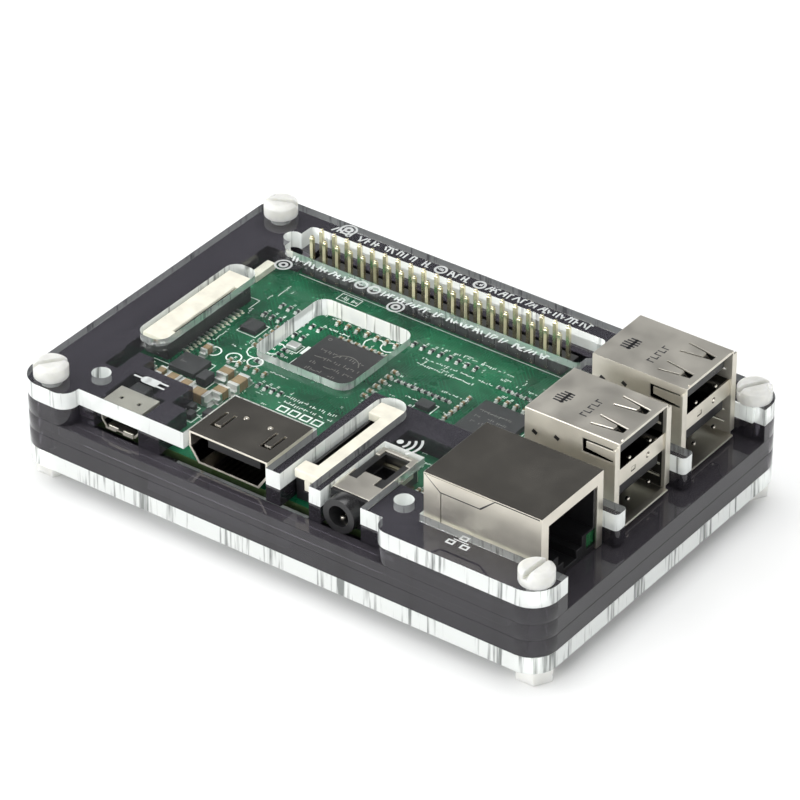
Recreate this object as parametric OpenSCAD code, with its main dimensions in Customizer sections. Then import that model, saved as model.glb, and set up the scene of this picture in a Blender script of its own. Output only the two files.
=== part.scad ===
// Credit-card single board computer in a five layer screwed sheet case.
// Lengths are in millimetres. X runs along the long side toward the twin sockets,
// Y runs from the video socket side to the pin header side, Z is up from the feet.

/* [Case] */
// Overall length of the layered case
case_length = 99; // [92:0.5:110]
// Overall width of the layered case
case_width = 66.2; // [62:0.2:76]
// Corner radius of every layer
case_corner_radius = 4.5; // [2:0.5:6]
// Thickness of one sheet layer
layer_thickness = 3; // [2:0.5:4]
// Clearance hole for a case screw
screw_hole_diameter = 3.3; // [3:0.1:4]
// Case screw thread diameter
screw_diameter = 3; // [2.5:0.5:4]
// Case screw head diameter
screw_head_diameter = 5.6; // [5:0.1:7]
// Case screw head height
screw_head_height = 2.6; // [1.5:0.1:3.5]
// Nut size across the flats
nut_across_flats = 5.5; // [5:0.1:7]
// Nut height, which is also the foot height
nut_height = 2.2; // [1.6:0.1:4]

/* [Board] */
// Board length
board_length = 85; // [80:1:90]
// Board width
board_width = 56; // [50:1:60]
// Board thickness
board_thickness = 1.4; // [1:0.1:1.8]
// Board corner radius
board_corner_radius = 3; // [1:0.5:4]
// Mounting hole diameter in the board
mount_hole_diameter = 2.75; // [2.5:0.05:3.2]
// Mounting hole spacing along the board
mount_spacing_x = 58; // [58:1:58]
// Mounting hole spacing across the board
mount_spacing_y = 49; // [49:1:49]
// Number of pins in one row of the header
header_columns = 20; // [10:1:20]
// Header pin pitch
header_pitch = 2.54; // [2:0.01:2.54]
// Header pin side
header_pin_side = 0.64; // [0.5:0.02:0.64]
// Height of the header pin tips above the board
header_tip_height = 8.6; // [7:0.1:11]

/* [Sockets] */
// Height of a twin socket above the board
twin_height = 15.7; // [15:0.1:16.5]
// Body width of a twin socket
twin_width = 13.1; // [12.8:0.1:13.4]
// Height of the network socket above the board
network_height = 13.6; // [13:0.1:14]
// Height of the video socket above the board
video_height = 6.3; // [5.8:0.1:6.6]
// Bore of the sound jack
jack_bore_diameter = 3.6; // [3.5:0.05:3.8]
// Sheet thickness of the metal shells
shell_wall = 0.3; // [0.2:0.05:0.4]

/* [Hidden] */
$fn = 48;
margin_left = 6.75;
margin_front = (case_width - board_width) / 2;
board_left = -case_length / 2 + margin_left;
board_front = -case_width / 2 + margin_front;
board_level = nut_height + 3 * layer_thickness;
case_x0 = -margin_left;
case_x1 = case_length - margin_left;
case_y0 = -margin_front;
case_y1 = case_width - margin_front;
top_face = 2 * layer_thickness;
base_face = -3 * layer_thickness;
screw_x = [-2.4, 89];
screw_y = [-1.5, 57];
hole_x = [3.5, 3.5 + mount_spacing_x];
hole_y = [3.5, 3.5 + mount_spacing_y];
recess_y = -2.1;
recess_x0 = 3.5;
recess_x1 = 61.7;
lobe_radius = 2.6;
lobe_centre_y = -2.5;
tail_z = -layer_thickness;
twin_y = [29, 47];
twin_x0 = 70;
twin_x1 = 87.1;
twin_half = twin_width / 2;
tongue_z = [5.2, 12.9];
network_x0 = 66;
network_x1 = 87.2;
network_y0 = 2.25;
network_y1 = 18.25;
video_x0 = 24.5;
video_x1 = 39.5;
video_y0 = -1.3;
video_y1 = 10.2;
video_floor = 0.9;
jack_x = 53.6;
jack_z = 2.9;
header_x0 = 3.5 + mount_spacing_x / 2 - (header_columns - 1) * header_pitch / 2;
header_y0 = 52.5 - header_pitch / 2;
camera_x = 43.05;
camera_y = 0.8;
display_x = 0.95;
display_y = 16.9;
ribbon_width = 4.6;
ribbon_length = 22.1;
ribbon_body_height = 4.1;
latch_top = 5.6;

clear_sheet = [0.86, 0.92, 0.92, 0.45];
smoke_sheet = [0.17, 0.16, 0.18, 0.85];
nylon = [0.93, 0.93, 0.9];
board_green = [0.02, 0.36, 0.2];
chip_black = [0.1, 0.1, 0.11];
nickel = [0.72, 0.7, 0.64];
plastic_black = [0.06, 0.06, 0.07];
gold = [0.83, 0.68, 0.36];
ivory = [0.9, 0.87, 0.76];
tan = [0.6, 0.48, 0.3];
tin = [0.8, 0.8, 0.8];

// Which sub-part to draw

// ---------- helpers ----------

module on_board() {
  translate([board_left, board_front, board_level]) children();
}

module block(x0, y0, z0, x1, y1, z1) {
  translate([x0, y0, z0]) cube([x1 - x0, y1 - y0, z1 - z0]);
}

module area(x0, y0, x1, y1) {
  translate([x0, y0]) square([x1 - x0, y1 - y0]);
}

module round_area(x0, y0, x1, y1, r) {
  area(x0 + r, y0, x1 - r, y1);
  area(x0, y0 + r, x1, y1 - r);
  for (x = [x0 + r, x1 - r]) {
    for (y = [y0 + r, y1 - r]) {
      translate([x, y]) circle(r = r);
    }
  }
}

module case_outline() {
  round_area(case_x0, case_y0, case_x1, case_y1, case_corner_radius);
}

module screw_holes() {
  for (x = screw_x) {
    for (y = screw_y) {
      translate([x, y]) circle(d = screw_hole_diameter);
    }
  }
}

// ---------- case layers, drawn flat in board coordinates ----------

module front_recess() {
  area(recess_x0, case_y0 - 1, recess_x1, recess_y);
  difference() {
    area(recess_x0 - lobe_radius, case_y0 - 1, recess_x0 + 0.01, lobe_centre_y);
    translate([recess_x0 - lobe_radius, lobe_centre_y]) circle(r = lobe_radius);
  }
  difference() {
    area(recess_x1 - 0.01, case_y0 - 1, recess_x1 + lobe_radius, lobe_centre_y);
    translate([recess_x1 + lobe_radius, lobe_centre_y]) circle(r = lobe_radius);
  }
}

module side_tab(y0, y1) {
  round_area(64, y0, 89.6, y1, 0.8);
}

module socket_side_cut() {
  difference() {
    area(65.5, 1.9, case_x1 + 1, 54.6);
    area(65.4, 18.6, 69.5, 55);
    side_tab(18.6, 21.3);
    side_tab(36.7, 39.3);
  }
  area(90.3, 54.5, case_x1 + 1, 55.1);
}

module recessed_outline() {
  difference() {
    case_outline();
    front_recess();
    socket_side_cut();
  }
}

module base_plate() {
  color(clear_sheet) on_board() translate([0, 0, base_face])
    linear_extrude(layer_thickness) difference() {
      case_outline();
      screw_holes();
      translate([case_x0, 28]) circle(r = 7);
    }
}

module lower_frame() {
  color(smoke_sheet) on_board() translate([0, 0, base_face + layer_thickness])
    linear_extrude(layer_thickness) difference() {
      case_outline();
      screw_holes();
      round_area(3.5, 6, 65, 49.8, 2);
      round_area(17, recess_y, 45, 12, 1.5);
      round_area(case_x0 - 4, 21.5, 8, 34.5, 2);
    }
}

module middle_frame() {
  color(smoke_sheet) on_board() translate([0, 0, -layer_thickness])
    linear_extrude(layer_thickness) difference() {
      case_outline();
      screw_holes();
      round_area(-0.25, recess_y, board_length + 0.25, board_width + 0.25, 1.2);
      area(case_x0 - 1, 21.5, 1, 34.5);
    }
}

module upper_window() {
  difference() {
    union() {
      area(0.5, 13, 66.8, 49.6);
      area(0.9, 7.4, 3.4, 13.1);
      area(6.3, -4, 15.1, 4.8);
      area(6.3, 4.7, 12.6, 8.2);
      area(6.3, 10.2, 24.1, 14);
      area(16.2, 4.8, 24.1, 14);
      area(19.2, -4, 24.1, 14);
      area(24, -4, 39.8, 14);
      area(42.5, -4, 48, 14);
      area(50.1, -4, 57.6, 14);
      area(57.5, 8, 63.2, 20.3);
    }
    area(39.8, -4, 42.5, 25.6);
    area(42.4, 23.4, 50.1, 25.6);
    area(47.9, -4, 50.1, 25.4);
    area(50, 20.3, 69.5, 25.4);
    area(63.2, 1.9, 67, 20.4);
  }
  round_area(6.4, 47, 61.9, 56.4, 1);
}

module upper_frame() {
  color(smoke_sheet) on_board() linear_extrude(layer_thickness) difference() {
    recessed_outline();
    screw_holes();
    upper_window();
    mount_holes_above(3.1);
  }
}

module mount_holes_above(d) {
  for (x = hole_x) {
    for (y = hole_y) {
      translate([x, y]) circle(d = d);
    }
  }
}

module top_plate() {
  color(clear_sheet) on_board() translate([0, 0, layer_thickness])
    linear_extrude(layer_thickness) difference() {
      recessed_outline();
      screw_holes();
      mount_holes_above(3.1);
      area(24, -4, 39.8, 10.8);
      area(42.5, -4, 47.9, 21.8);
      translate([45.2, 21.8]) circle(r = 2.7);
      area(50.1, -4, 57.5, 14.2);
      round_area(18, 22.6, 36.4, 41, 2.2);
      round_area(0.3, 15.6, 5.7, 41, 2.2);
      round_area(4.1, 48.9, 61.9, 56.9, 1);
    }
}

module case_screw() {
  shank = 5 * layer_thickness + nut_height;
  translate([0, 0, top_face]) {
    difference() {
      union() {
        cylinder(d = screw_head_diameter, h = screw_head_height - 0.5);
        translate([0, 0, screw_head_height - 0.5])
          cylinder(d1 = screw_head_diameter, d2 = screw_head_diameter - 1.4, h = 0.5);
      }
      block(-4, -0.45, screw_head_height - 1.2, 4, 0.45, screw_head_height + 1);
    }
    translate([0, 0, -shank]) cylinder(d = screw_diameter - 0.02, h = shank);
  }
}

module case_screws() {
  color(nylon) on_board() {
    for (i = [0, 1]) {
      for (j = [0, 1]) {
        translate([screw_x[i], screw_y[j], 0]) rotate([0, 0, 52 + 34 * i - 28 * j]) case_screw();
      }
    }
  }
}

module case_nuts() {
  color(nylon) on_board() {
    for (x = screw_x) {
      for (y = screw_y) {
        translate([x, y, base_face - nut_height]) difference() {
          cylinder(d = nut_across_flats / cos(30), h = nut_height, $fn = 6);
          translate([0, 0, -1]) cylinder(d = screw_diameter, h = nut_height + 2);
        }
      }
    }
  }
}

// ---------- board ----------

module leg_holes() {
  for (y = twin_y) {
    for (x = [73, 81.5]) {
      for (s = [-1, 1]) {
        translate([x, y + s * (twin_half - shell_wall / 2), 0]) circle(d = 1.7);
      }
    }
  }
  for (y = [network_y0 + 0.2, network_y1 - 0.2]) {
    translate([78.5, y]) circle(d = 1.8);
  }
  for (x = [video_x0 + 0.25, video_x1 - 0.25]) {
    for (y = [1.6, 6.6]) {
      translate([x, y]) circle(d = 1.4);
    }
  }
}

module circuit_board() {
  color(board_green) on_board() translate([0, 0, -board_thickness])
    linear_extrude(board_thickness) difference() {
      round_area(0, 0, board_length, board_width, board_corner_radius);
      mount_holes_above(mount_hole_diameter);
      leg_holes();
      for (i = [0 : header_columns - 1]) {
        for (j = [0, 1]) {
          translate([header_x0 + i * header_pitch, header_y0 + j * header_pitch]) circle(d = 1);
        }
      }
    }
}

module processor() {
  color(chip_black) on_board() {
    block(21.2, 26.3, 0.25, 33.4, 38.5, 1.35);
    block(21.5, 26.6, 0, 33.1, 38.2, 0.25);
  }
}

module memory_chip() {
  color(chip_black) on_board() block(21.5, 27, -board_thickness - 1, 33, 38, -board_thickness);
}

module socket_control_chip() {
  color(chip_black) on_board() block(53, 27.6, 0, 62, 36.6, 0.9);
}

module wireless_chip() {
  color(chip_black) on_board() block(10, 38, -board_thickness - 0.8, 15, 43, -board_thickness);
}

module power_chip() {
  color(chip_black) on_board() block(7.1, 15.4, 0, 12.1, 20, 0.9);
}

module small_chips() {
  color(chip_black) on_board() {
    block(9.3, 30.8, 0, 12.3, 33.8, 0.8);
    block(44.6, 29.4, 0, 47.2, 31.4, 0.8);
    block(19.6, 8, 0, 22.2, 9.8, 0.9);
    block(60.2, 14.6, 0, 62.8, 16.6, 0.8);
    block(62.6, 40, 0, 65.6, 43, 0.9);
    block(38.2, 37.4, -board_thickness - 0.9, 43.2, 42.4, -board_thickness);
  }
}

// ---------- pin header ----------

module header_base() {
  x1 = header_x0 + (header_columns - 0.5) * header_pitch;
  side = header_pin_side;
  color(plastic_black) on_board() difference() {
    union() {
      for (i = [0 : header_columns - 1]) {
        x = header_x0 + i * header_pitch;
        block(x - 1.17, header_y0 - 1.27, 0, x + 1.17, header_y0 + 3.81, 2.54);
      }
      block(header_x0 - 1.1, header_y0 - 1, 0, x1 - 0.2, header_y0 + 3.54, 2.54);
    }
    for (i = [0 : header_columns - 1]) {
      for (j = [0, 1]) {
        translate([header_x0 + i * header_pitch, header_y0 + j * header_pitch, 1])
          cube([side, side, 4], center = true);
      }
    }
  }
}

module header_pins() {
  side = header_pin_side;
  color(gold) on_board() {
    for (i = [0 : header_columns - 1]) {
      for (j = [0, 1]) {
        translate([header_x0 + i * header_pitch, header_y0 + j * header_pitch, 0]) {
          block(-side / 2, -side / 2, tail_z, side / 2, side / 2, header_tip_height - 0.4);
          block(-side / 3, -side / 3, header_tip_height - 0.4, side / 3, side / 3, header_tip_height);
        }
      }
    }
  }
}

// ---------- twin sockets ----------

module finger_cut(cx, cy) {
  translate([cx, cy, 0]) linear_extrude(2) difference() {
    polygon([[-2.7, -1.45], [2.7, -0.65], [2.7, 0.65], [-2.7, 1.45]]);
    polygon([[-3, -1.2], [0.9, -0.55], [0.9, 0.55], [-3, 1.2]]);
  }
}

module side_finger_cut(x, y, z) {
  translate([x, y, z]) rotate([90, 0, 0]) linear_extrude(4, center = true) difference() {
    polygon([[-2.75, -1.2], [2.75, -1.2], [2.75, 1.2], [-2.75, 1.2]]);
    polygon([[-2.1, -0.4], [2.9, -0.95], [2.9, 0.95], [-2.1, 0.9]]);
  }
}

module twin_shell(yc) {
  w = shell_wall;
  h = twin_half;
  top = twin_height;
  difference() {
    block(twin_x0, yc - h, 0.3, twin_x1, yc + h, top);
    block(twin_x0 + w, yc - h + w, 0.3 + w, twin_x1 + 1, yc + h - w, top - w);
    for (s = [-1, 1]) {
      translate([0, 0, top - 1]) finger_cut(83.1, yc + s * 3.05);
      side_finger_cut(83.25, yc + s * h, 13.1);
      side_finger_cut(83.25, yc + s * h, 3.6);
    }
    block(74, yc - 3, -1, 79, yc + 3, 1);
  }
  for (s = [-1, 1]) {
    y0 = s > 0 ? yc + h : yc - h - 0.95;
    block(twin_x1 - 0.35, y0, 0.9, twin_x1, y0 + 0.95, top - 0.7);
    for (x = [73, 81.5]) {
      y1 = yc + s * (h - w / 2);
      block(x - 0.6, y1 - w / 2, tail_z, x + 0.6, y1 + w / 2, 0.3);
    }
  }
  block(twin_x1 - 0.35, yc - h + 0.6, 0.6, twin_x1 + 0.8, yc + h - 0.6, 0.9);
  block(twin_x1 - 0.35, yc - h + 1, top, twin_x1, yc + h - 1, top + 0.2);
}

module twin_insulator(yc) {
  a = twin_half - shell_wall;
  difference() {
    block(twin_x0 + shell_wall, yc - a, 0.3 + shell_wall, 75.6, yc + a, twin_height - shell_wall);
    block(73.2, yc - a + 1, 7.8, 76, yc + a - 1, 10.3);
  }
  for (z = tongue_z) {
    block(75.6, yc - 5.5, z, 86.1, yc + 5.5, z + 1.8);
  }
}

module twin_divider(yc) {
  a = twin_half - shell_wall;
  difference() {
    block(75.6, yc - a, 7.6, 86.7, yc + a, 10.5);
    block(75.5, yc - a - 1, 7.9, 86.4, yc + a + 1, 10.2);
    translate([87, yc + 1.9, 9.05]) rotate([0, -90, 0]) cylinder(d = 1, h = 1);
    block(86, yc - 2.6, 8.4, 87, yc - 1.4, 9.2);
  }
}

module twin_contacts(yc) {
  for (z = tongue_z) {
    for (y = [-3.5, -1, 1, 3.5]) {
      block(76, yc + y - 0.45, z - 0.2, 85.6, yc + y + 0.45, z);
    }
  }
}

module near_twin_shell() {
  color(nickel) on_board() twin_shell(twin_y[0]);
}

module near_twin_insulator() {
  color(plastic_black) on_board() twin_insulator(twin_y[0]);
}

module near_twin_divider() {
  color(nickel) on_board() twin_divider(twin_y[0]);
}

module near_twin_contacts() {
  color(gold) on_board() twin_contacts(twin_y[0]);
}

module far_twin_shell() {
  color(nickel) on_board() twin_shell(twin_y[1]);
}

module far_twin_insulator() {
  color(plastic_black) on_board() twin_insulator(twin_y[1]);
}

module far_twin_divider() {
  color(nickel) on_board() twin_divider(twin_y[1]);
}

module far_twin_contacts() {
  color(gold) on_board() twin_contacts(twin_y[1]);
}

// ---------- network socket ----------

module network_shell() {
  w = shell_wall;
  color(nickel) on_board() {
    difference() {
      block(network_x0, network_y0, 0.1, network_x1, network_y1, network_height);
      block(network_x0 + w, network_y0 + w, -1, network_x1 - w, network_y1 - w, network_height - w);
      block(network_x1 - 1, 4.1, -1, network_x1 + 1, 16.7, 11.5);
      block(69.05, network_y0 - 1, -1, 69.2, network_y0 + 1, 11.2);
      for (y = [network_y0, network_y1]) {
        block(74, y - 1, -1, 77, y + 1, 1.2);
      }
    }
    for (y = [network_y0 + 0.05, network_y1 - 0.05 - w]) {
      block(77.9, y, tail_z, 79.1, y + w, 0.1);
    }
  }
}

module network_insert() {
  w = shell_wall;
  color(plastic_black) on_board() difference() {
    block(network_x0 + w, network_y0 + w, 0.1, network_x1 - w, network_y1 - w, network_height - w);
    block(72, 4.3, 4.2, network_x1, 16.2, 11.3);
    block(76, 7.2, 2.4, network_x1, 13.3, 4.3);
    block(79, 8.6, 1, network_x1, 11.9, 2.5);
    for (y = [3.1, 14.5]) {
      block(84.2, y, 1, network_x1, y + 2.6, 3.8);
    }
  }
}

module network_contacts() {
  color(gold) on_board() {
    for (i = [0 : 7]) {
      y = 10.25 + (i - 3.5) * 1.02;
      block(72, y - 0.15, 10.9, 84, y + 0.15, 11.3);
      translate([72.4, y, 11.05]) rotate([0, 28, 0]) block(0, -0.15, -0.3, 7, 0.15, 0);
    }
  }
}

module network_lights() {
  color([0.2, 0.5, 0.25]) on_board() {
    for (y = [3.1, 14.5]) {
      block(84.2, y, 1, 86.5, y + 2.6, 3.8);
    }
  }
}

// ---------- video socket ----------

module video_profile(grow) {
  a = video_x0 + grow;
  b = video_x1 - grow;
  lo = video_floor + grow;
  hi = video_height - grow;
  k = grow * 0.42;
  polygon([[a, hi], [a, 3.4 + k], [a + 1.7 - k * 0.6, lo], [b - 1.7 + k * 0.6, lo], [b, 3.4 + k], [b, hi]]);
}

module video_shell() {
  w = 0.35;
  color(nickel) on_board() {
    difference() {
      translate([0, video_y1, 0]) rotate([90, 0, 0])
        linear_extrude(video_y1 - video_y0) video_profile(0);
      translate([0, video_y1 - w, 0]) rotate([90, 0, 0])
        linear_extrude(video_y1 - video_y0 + 1) video_profile(w);
      for (x = [27.2, 36.8]) {
        translate([x, 0, video_height - 1]) linear_extrude(3) difference() {
          area(-1.05, 1.7, 1.05, 5.9);
          area(-0.6, 2.4, 0.6, 6);
        }
      }
      for (x = [29.7, 34.3]) {
        translate([x, 6.3, video_height - 1]) cylinder(d = 0.9, h = 3);
      }
    }
    for (x = [video_x0 + 0.05, video_x1 - 0.05 - w]) {
      for (y = [1.6, 6.6]) {
        block(x, y - 0.45, tail_z, x + w, y + 0.45, 3.4);
      }
    }
  }
}

module video_tongue() {
  w = 0.35;
  color(plastic_black) on_board() {
    block(video_x0 + 2.1, 6.4, video_floor + w, video_x1 - 2.1, video_y1 - w, video_height - w);
    block(27, 0.2, 3.3, 37, 6.4, 4.5);
    block(26, 6.8, 0, 38, 9.4, video_floor);
  }
}

module video_contacts() {
  color(gold) on_board() {
    for (i = [0 : 9]) {
      block(27.4 + i, 0.8, 4.5, 27.8 + i, 6.4, 4.62);
    }
    for (i = [0 : 8]) {
      block(27.9 + i, 0.8, 3.18, 28.3 + i, 6.4, 3.3);
    }
  }
}

// ---------- power socket ----------

module power_profile(grow) {
  a = 6.85 + grow;
  b = 14.35 - grow;
  polygon([[a, 2.8 - grow], [a, 1.2 + grow * 0.4], [a + 0.9, grow], [b - 0.9, grow],
    [b, 1.2 + grow * 0.4], [b, 2.8 - grow]]);
}

module power_socket_shell() {
  w = 0.25;
  color(nickel) on_board() {
    difference() {
      translate([0, 4.3, 0]) rotate([90, 0, 0]) linear_extrude(5.2) power_profile(0);
      translate([0, 4.3 - w, 0]) rotate([90, 0, 0]) linear_extrude(6) power_profile(w);
      for (x = [8.6, 12]) {
        block(x, 1.4, 2, x + 0.6, 2.2, 4);
      }
    }
    block(7.9, -1.2, 0, 9.9, -0.9, 0.35);
    block(11.3, -1.2, 0, 13.3, -0.9, 0.35);
    block(8.4, -1.2, 2.45, 12.8, -0.9, 2.95);
    for (x = [6.4, 13.7]) {
      block(x, 1, 0, x + 1.1, 2.6, 0.9);
    }
  }
}

module power_socket_tongue() {
  color(plastic_black) on_board() {
    block(7.75, 2.2, 0.65, 13.45, 4.05, 2.55);
    block(8.6, -0.4, 1.5, 12.6, 2.2, 2.1);
  }
}

// ---------- sound jack ----------

module jack_body() {
  color(plastic_black) on_board() difference() {
    union() {
      block(50.4, 0.1, 0, 56.8, 13.3, 5.2);
      translate([jack_x, 0.1, jack_z]) rotate([90, 0, 0]) cylinder(d = 5.8, h = 2.4);
      block(50.4, 0.1, 5.2, 56.8, 0.8, 5.4);
    }
    translate([jack_x, 11.4, jack_z]) rotate([90, 0, 0]) cylinder(d = jack_bore_diameter, h = 16);
    block(51.6, 6.7, 3.6, 55.6, 12.4, 6);
    block(50, 3, -1, 51, 11, 1.2);
  }
}

module jack_clip() {
  color(nickel) on_board() {
    block(50.4, 0.8, 5.2, 56.8, 4.4, 5.45);
    block(52, 4.4, 5.2, 55.1, 6.6, 5.45);
    block(50.15, 0.8, 1.6, 50.4, 6.5, 5.45);
    block(56.8, 0.8, 1.6, 57.05, 12, 5.45);
    block(50.4, 13.3, 0, 56.8, 13.55, 5.45);
    block(50.4, 12.9, 5.2, 56.8, 13.3, 5.45);
    block(50.4, 11.4, 5.2, 51.2, 12.9, 5.45);
    block(56, 11.4, 5.2, 56.8, 12.9, 5.45);
  }
}

module jack_contacts() {
  color(gold) on_board() {
    for (y = [3.6, 7.4, 11.2]) {
      block(50.12, y - 0.6, 0, 50.4, y + 0.6, 0.3);
      block(56.8, y - 0.6, 0, 57.5, y + 0.6, 0.3);
    }
    block(51.6, 11.6, 3.6, 55.6, 12.2, 3.9);
  }
}

// ---------- ribbon sockets ----------

module ribbon_body(slit_from) {
  difference() {
    block(0, 0.4, 0, ribbon_width, ribbon_length - 0.4, ribbon_body_height);
    block(slit_from, 3, 0.8, slit_from + 1.2, ribbon_length - 3, 5);
    for (y = [0, ribbon_length - 1.1]) {
      block(1.4, y, 1.8, 2.9, y + 1.1, 5);
    }
  }
}

module ribbon_latch(gap_from, gap_to) {
  difference() {
    block(0, 0, ribbon_body_height + 0.06, ribbon_width, ribbon_length, latch_top);
    block(gap_from, 2.8, 3, gap_to, ribbon_length - 3.4, 7);
    block(2.9, 2.8, 3, 4, ribbon_length - 3.4, 5.15);
  }
  for (y = [0.3, ribbon_length - 1]) {
    block(1.6, y, 2, 2.7, y + 0.7, ribbon_body_height + 0.06);
  }
}

module ribbon_pins(x0, x1) {
  for (i = [0 : 14]) {
    y = ribbon_length / 2 + (i - 7) * 1;
    block(x0, y - 0.18, 0, x1, y + 0.18, 0.3);
  }
}

module camera_socket_body() {
  color(plastic_black) on_board() translate([camera_x, camera_y, 0]) ribbon_body(0.5);
}

module camera_latch() {
  color(ivory) on_board() translate([camera_x, camera_y, 0])
    ribbon_latch(-1, 2.4);
}

module camera_socket_pins() {
  color(tin) on_board() translate([camera_x, camera_y, 0]) ribbon_pins(-0.5, 0);
}

module display_socket_body() {
  color(plastic_black) on_board() translate([display_x, display_y, 0])
    ribbon_body(3.1);
}

module display_latch() {
  color(ivory) on_board() translate([display_x, display_y, 0])
    ribbon_latch(3.7, 6);
}

module display_socket_pins() {
  color(tin) on_board() translate([display_x, display_y, 0])
    ribbon_pins(ribbon_width, ribbon_width + 0.9);
}

// ---------- card slot under the board ----------

module card_slot_shell() {
  z = -board_thickness - 1.5;
  color(nickel) on_board() difference() {
    block(0.6, 22, z, 15.6, 34, -board_thickness);
    block(0, 22.25, z + 0.2, 15, 33.75, -board_thickness - 0.25);
    block(9, 25, z - 1, 13, 31, z + 1);
  }
}

module card_slot_base() {
  z = -board_thickness - 1.3;
  color(plastic_black) on_board() {
    block(10.5, 22.25, z, 15, 33.75, z + 0.3);
    block(14, 22.25, z + 0.3, 15, 33.75, -board_thickness - 0.25);
  }
}

// ---------- small parts ----------

module chip_part(p, l, w, h) {
  translate([p[0], p[1], 0]) rotate([0, 0, p[2]]) translate([-l / 2, -w / 2, 0]) cube([l, w, h]);
}

module large_capacitors() {
  color(tan) on_board() {
    for (p = [[10.4, 12.4, 0], [13.2, 12.2, 0], [16.1, 18.6, 90], [18.6, 13.9, 90]]) {
      chip_part(p, 2.5, 2, 1.6);
    }
    for (p = [[16.4, 11.5, 0], [19.4, 17.6, 90]]) {
      chip_part(p, 3.4, 1.9, 1.7);
    }
    for (p = [[4.3, 13.9, 0], [7.4, 13.3, 90], [9.2, 22.6, 90]]) {
      chip_part(p, 2, 1.2, 1.2);
    }
  }
}

module small_capacitors() {
  color(tan) on_board() {
    for (i = [0 : 6]) {
      chip_part([19.4 + 1.9 * i, 43.4, 90], 1, 0.5, 0.5);
      chip_part([22.6 + 1.5 * i, 40, 0], 1, 0.5, 0.5);
    }
    for (i = [0 : 5]) {
      chip_part([36.6, 27.2 + 1.6 * i, 0], 1, 0.5, 0.5);
      chip_part([50.2, 28 + 1.6 * i, 90], 1, 0.5, 0.5);
      chip_part([63.8, 27.4 + 1.6 * i, 0], 1, 0.5, 0.5);
    }
    for (i = [0 : 4]) {
      chip_part([54 + 1.7 * i, 38.4, 90], 1, 0.5, 0.5);
      chip_part([13.6 + 1.7 * i, 22.8, 90], 1, 0.5, 0.5);
      chip_part([14.2, 28.6 + 1.5 * i, 0], 1, 0.5, 0.5);
      chip_part([58.4 + 1.05 * i, 11.4, 90], 1, 0.5, 0.5);
      chip_part([24 + 2 * i, 12.2, 0], 1, 0.5, 0.5);
    }
  }
}

module resistors() {
  color([0.12, 0.12, 0.13]) on_board() {
    for (i = [0 : 7]) {
      chip_part([34.2 + 1.7 * i, 43.6, 90], 1, 0.5, 0.35);
      chip_part([38.6 + 1.3 * i, 33.6, 0], 1, 0.5, 0.35);
    }
    for (i = [0 : 5]) {
      chip_part([39.2 + 1.5 * i, 28, 90], 1, 0.5, 0.35);
      chip_part([17.2, 25.2 + 1.4 * i, 0], 1, 0.5, 0.35);
      chip_part([52.4 + 1.7 * i, 41.4, 0], 1, 0.5, 0.35);
      chip_part([9.8 + 1.5 * i, 36.6, 90], 1, 0.5, 0.35);
      chip_part([10.6 + 1.5 * i, 40.2, 90], 1, 0.5, 0.35);
    }
    for (i = [0 : 3]) {
      chip_part([57.9 + 1.35 * i, 18.4, 0], 1, 0.5, 0.35);
      chip_part([21.4 + 1.4 * i, 20, 90], 1, 0.5, 0.35);
      chip_part([65.8, 28 + 1.8 * i, 90], 1, 0.5, 0.35);
      chip_part([51.6 + 1.6 * i, 16.6, 90], 1, 0.5, 0.35);
    }
  }
}

module inductors() {
  color([0.2, 0.2, 0.21]) on_board() {
    block(13.1, 14.6, 0, 15, 17.2, 1.5);
    block(7.2, 5.2, 0, 10.2, 7.8, 1.8);
    block(17.6, 6.1, 0, 18.9, 7.7, 1);
    block(16.5, 8, 0, 17.7, 9.4, 1);
    block(63.4, 44, 0, 65.4, 45.8, 1.4);
  }
}

module crystals() {
  color(tin) on_board() {
    block(62.4, 36.9, 0, 65.6, 39.2, 0.8);
    block(16.8, 33, 0, 18.8, 34.6, 0.7);
  }
}

module status_lights() {
  color([0.85, 0.9, 0.8]) on_board() {
    block(1.6, 7.6, 0, 2.4, 9.2, 0.7);
    block(1.6, 10.4, 0, 2.4, 12, 0.7);
  }
}

module antenna() {
  color(ivory) on_board() block(1.4, 43.2, 0, 3, 48.4, 1.2);
}

module diodes() {
  color(chip_black) on_board() {
    block(10.8, 5.3, 0, 12.3, 7.8, 1);
    block(41.9, 26.4, 0, 43.5, 27.4, 0.6);
    block(58.2, 5.4, -0.9 - board_thickness, 61.6, 7.6, -board_thickness);
  }
}

// ---------- drawing ----------

base_plate();
lower_frame();
middle_frame();
upper_frame();
top_plate();
case_screws();
case_nuts();
circuit_board();
processor();
memory_chip();
socket_control_chip();
wireless_chip();
power_chip();
small_chips();
header_base();
header_pins();
near_twin_shell();
near_twin_insulator();
near_twin_divider();
near_twin_contacts();
far_twin_shell();
far_twin_insulator();
far_twin_divider();
far_twin_contacts();
network_shell();
network_insert();
network_contacts();
network_lights();
video_shell();
video_tongue();
video_contacts();
power_socket_shell();
power_socket_tongue();
jack_body();
jack_clip();
jack_contacts();
camera_socket_body();
camera_latch();
camera_socket_pins();
display_socket_body();
display_latch();
display_socket_pins();
card_slot_shell();
card_slot_base();
large_capacitors();
small_capacitors();
resistors();
inductors();
crystals();
status_lights();
antenna();
diodes();
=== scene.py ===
"""A cased single board computer: finishes, small details, floor, lights and camera."""
import math
import random

import bmesh
import bpy
from mathutils import Euler, Matrix, Vector


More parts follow.
